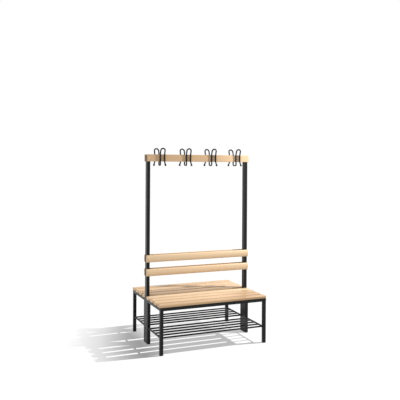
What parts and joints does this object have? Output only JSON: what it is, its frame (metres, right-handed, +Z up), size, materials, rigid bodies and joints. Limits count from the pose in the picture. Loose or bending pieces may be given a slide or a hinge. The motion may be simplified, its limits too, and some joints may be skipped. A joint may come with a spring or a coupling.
{
  "type": "changing room bench",
  "caption": "Double-sided changing room bench: slatted seats and backrests on a square tube frame, shoe racks below, double wire coat hooks on a high rail.",
  "frame": {"origin": "middle of the footprint, on the floor", "axes": "+X along the bench, +Y from the front seat to the back seat, +Z up"},
  "size_m": [0.992, 0.78, 1.708],
  "materials": {
    "beech": "satin lacquer",
    "frame_steel": "fine textured powder coat",
    "hook_steel": "semi-gloss coating",
    "zinc_steel": "zinc plated",
    "black_plastic": "matt"
  },
  "bodies": {
    "root": {"upright_left": "frame_steel", "upright_glide_left": "black_plastic", "upright_cap_left": "black_plastic", "outer_leg_front_left": "frame_steel", "outer_glide_front_left": "black_plastic", "inner_leg_front_left": "frame_steel", "inner_glide_front_left": "black_plastic", "end_tube_front_left": "frame_steel", "outer_leg_back_left": "frame_steel", "outer_glide_back_left": "black_plastic", "inner_leg_back_left": "frame_steel", "inner_glide_back_left": "black_plastic", "end_tube_back_left": "frame_steel", "upright_right": "frame_steel", "upright_glide_right": "black_plastic", "upright_cap_right": "black_plastic", "outer_leg_front_right": "frame_steel", "outer_glide_front_right": "black_plastic", "inner_leg_front_right": "frame_steel", "inner_glide_front_right": "black_plastic", "end_tube_front_right": "frame_steel", "outer_leg_back_right": "frame_steel", "outer_glide_back_right": "black_plastic", "inner_leg_back_right": "frame_steel", "inner_glide_back_right": "black_plastic", "end_tube_back_right": "frame_steel", "outer_rail_front": "frame_steel", "inner_rail_front": "frame_steel", "front_seat_slat_1": "beech", "front_seat_slat_2": "beech", "front_seat_slat_3": "beech", "front_seat_slat_4": "beech", "lower_backrest_front": "beech", "upper_backrest_front": "beech", "hook_rail_front": "beech", "shoe_rack_front": "frame_steel", "outer_rail_back": "frame_steel", "inner_rail_back": "frame_steel", "back_seat_slat_1": "beech", "back_seat_slat_2": "beech", "back_seat_slat_3": "beech", "back_seat_slat_4": "beech", "lower_backrest_back": "beech", "upper_backrest_back": "beech", "hook_rail_back": "beech", "shoe_rack_back": "frame_steel", "column_bolts": "frame_steel", "column_cap_nuts": "frame_steel", "connector_bolts": "zinc_steel", "connector_sleeves": "zinc_steel", "seat_slat_screws": "zinc_steel", "hook_nuts": "zinc_steel", "slat_plugs": "beech", "hook_1": "hook_steel", "hook_2": "hook_steel", "hook_3": "hook_steel", "hook_4": "hook_steel", "hook_ball_tips": "hook_steel"}
  },
  "joints": []
}
